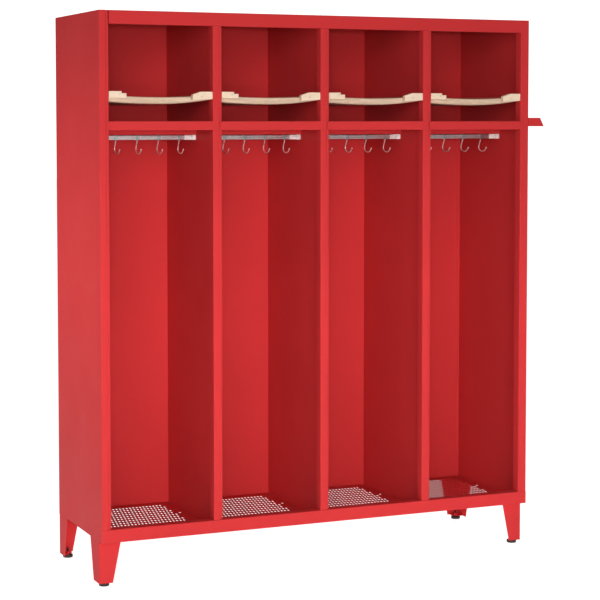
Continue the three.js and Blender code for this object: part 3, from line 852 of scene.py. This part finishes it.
def studio():
    """Pale floor with a soft glow, a white backdrop and large soft lights."""
    span = 40.0
    mesh = bpy.data.meshes.new("studio_floor")
    corners = [(-span, -span, 0), (span, -span, 0), (span, span, 0), (-span, span, 0)]
    mesh.from_pydata(corners, [], [[0, 1, 2, 3]])
    floor = bpy.data.objects.new("studio_floor", mesh)
    bpy.context.scene.collection.objects.link(floor)
    n = Nodes("studio_floor")
    tone = n.ramp(n.noise(0.6, 2.0), 0.3, 0.7, 0.50, 0.54)
    n.link(floor_glow(n), n.shader.inputs["Emission Strength"])
    n.finish(tone, 0.7, Specular_IOR_Level=0.2, Emission_Color=(1, 1, 1, 1))
    mesh.materials.append(n.material)
    surroundings()
    area_light("key", (-3.3, -5.6, 2.4), (0, 0, 0.95), (2.2, 1.6), KEY_POWER)
    area_light("fill", (-1.8, -6.2, 1.56), (0, 0, 1.3), (2.4, 0.3), FILL_POWER)
    area_light("top", (0.3, 0.6, 4.6), (0, 0, 1.8), (3.0, 2.0), TOP_POWER)
    area_light("side", (-3.0, 0.6, 1.15), (-0.8, 0.1, 1.1), (1.2, 0.8), SIDE_POWER, spread=50)
    area_light("middle", (-1.2, -5.0, 0.8), (0, 0, 0.75), (2.4, 0.8), MIDDLE_POWER, spread=22)


def floor_glow(n):
    """Glow by place on the floor: bright where the camera's fixed place looks, dimmer to its sides."""
    split = n.add("ShaderNodeSeparateXYZ")
    n.link(n.place, split.inputs["Vector"])
    yaw = math.radians(CAMERA_YAW)
    eye = CAMERA_PLACE + Vector((MIDDLE, 0, 0))
    from_eye = [n.math("SUBTRACT", split.outputs[axis], start)
                for axis, start in (("X", eye.x), ("Y", eye.y))]

    def along(direction):
        parts = [n.math("MULTIPLY", part, share) for part, share in zip(from_eye, direction)]
        return n.math("ADD", *parts)

    ahead = along((math.sin(yaw), math.cos(yaw)))
    aside = along((math.cos(yaw), -math.sin(yaw)))
    slope = n.math("DIVIDE", n.math("ABSOLUTE", aside), n.math("MAXIMUM", ahead, 0.5))
    glow = n.ramp(slope, 0.19, 0.55, FLOOR_GLOW, FLOOR_DIM)
    return n.math("MULTIPLY", glow, n.ramp(ahead, 1.5, 5.2, 0.35, 1.0))


def surroundings():
    """A white patch of sky where the camera looks and a soft grey everywhere else."""
    world = bpy.data.worlds.new("studio")
    world.use_nodes = True
    tree = world.node_tree
    background = tree.nodes["Background"]
    background.inputs["Color"].default_value = (1, 1, 1, 1)
    direction = tree.nodes.new("ShaderNodeTexCoord").outputs["Generated"]
    towards = tree.nodes.new("ShaderNodeVectorMath")
    towards.operation = "DOT_PRODUCT"
    yaw = math.radians(CAMERA_YAW)
    towards.inputs[1].default_value = (math.sin(yaw), math.cos(yaw), 0)
    fade = tree.nodes.new("ShaderNodeMapRange")
    tree.links.new(direction, towards.inputs[0])
    tree.links.new(towards.outputs["Value"], fade.inputs["Value"])
    levels = {"From Min": 0.93, "From Max": 0.978, "To Min": SKY_DIM, "To Max": SKY_BRIGHT}
    for key, number in levels.items():
        fade.inputs[key].default_value = number
    tree.links.new(fade.outputs["Result"], background.inputs["Strength"])
    bpy.context.scene.world = world


def camera():
    """Camera fitted to the photograph's outline, looking at the front from the left."""
    lens = bpy.data.cameras.new("camera")
    lens.lens = CAMERA_LENS
    lens.sensor_width = 36
    lens.shift_y = CAMERA_SHIFT
    lens.clip_end = 200
    made = bpy.data.objects.new("camera", lens)
    made.location = CAMERA_PLACE + Vector((MIDDLE, 0, 0))
    made.rotation_euler = (math.radians(90 + CAMERA_PITCH), 0, math.radians(-CAMERA_YAW))
    bpy.context.scene.collection.objects.link(made)
    bpy.context.scene.camera = made
    bpy.context.scene.view_settings.view_transform = "Standard"


camera()
studio()

red = paint_cabinet()
board_wood = beech("beech_board", (0.78, 0.57, 0.41), (0.60, 0.42, 0.28))
cleat_wood = beech("beech_cleat", (0.91, 0.70, 0.53), (0.83, 0.62, 0.44), seed=3.1)
rail_steel = zinc("galvanised_steel", (0.62, 0.60, 0.60), 0.42)
band_steel = zinc("band_steel", (0.46, 0.47, 0.48), 0.42)
stem_steel = zinc("dull_zinc", (0.10, 0.10, 0.10), 0.5)
# The pink in the wire's colour is a painted reflection of the red paint around it; metallic is lowered to
# keep it pale.
wire_steel_painted_reflection = zinc("bright_wire", (0.86, 0.76, 0.74), 0.3, spangle=300.0, stretch=(60.0, 60.0, 3.0),
                  metallic=0.6)
socket_grey = moulded("pale_socket", (0.80, 0.76, 0.74), 0.4)
black = moulded("black_plastic", (0.014, 0.014, 0.015), 0.5)

finish_cleats(cleat_wood, rail_steel)
for bay in BAYS:
    perforated_floor(bay, red)
    helmet_rest(bay, board_wood)
    hook_rail(bay, rail_steel, socket_grey)
    for number in HOOKS:
        coat_hook(bay, number, wire_steel_painted_reflection, band_steel)
for depth, side in CORNERS:
    levelling_foot(depth, side, black, stem_steel)
    weld_nut(depth, side, red)
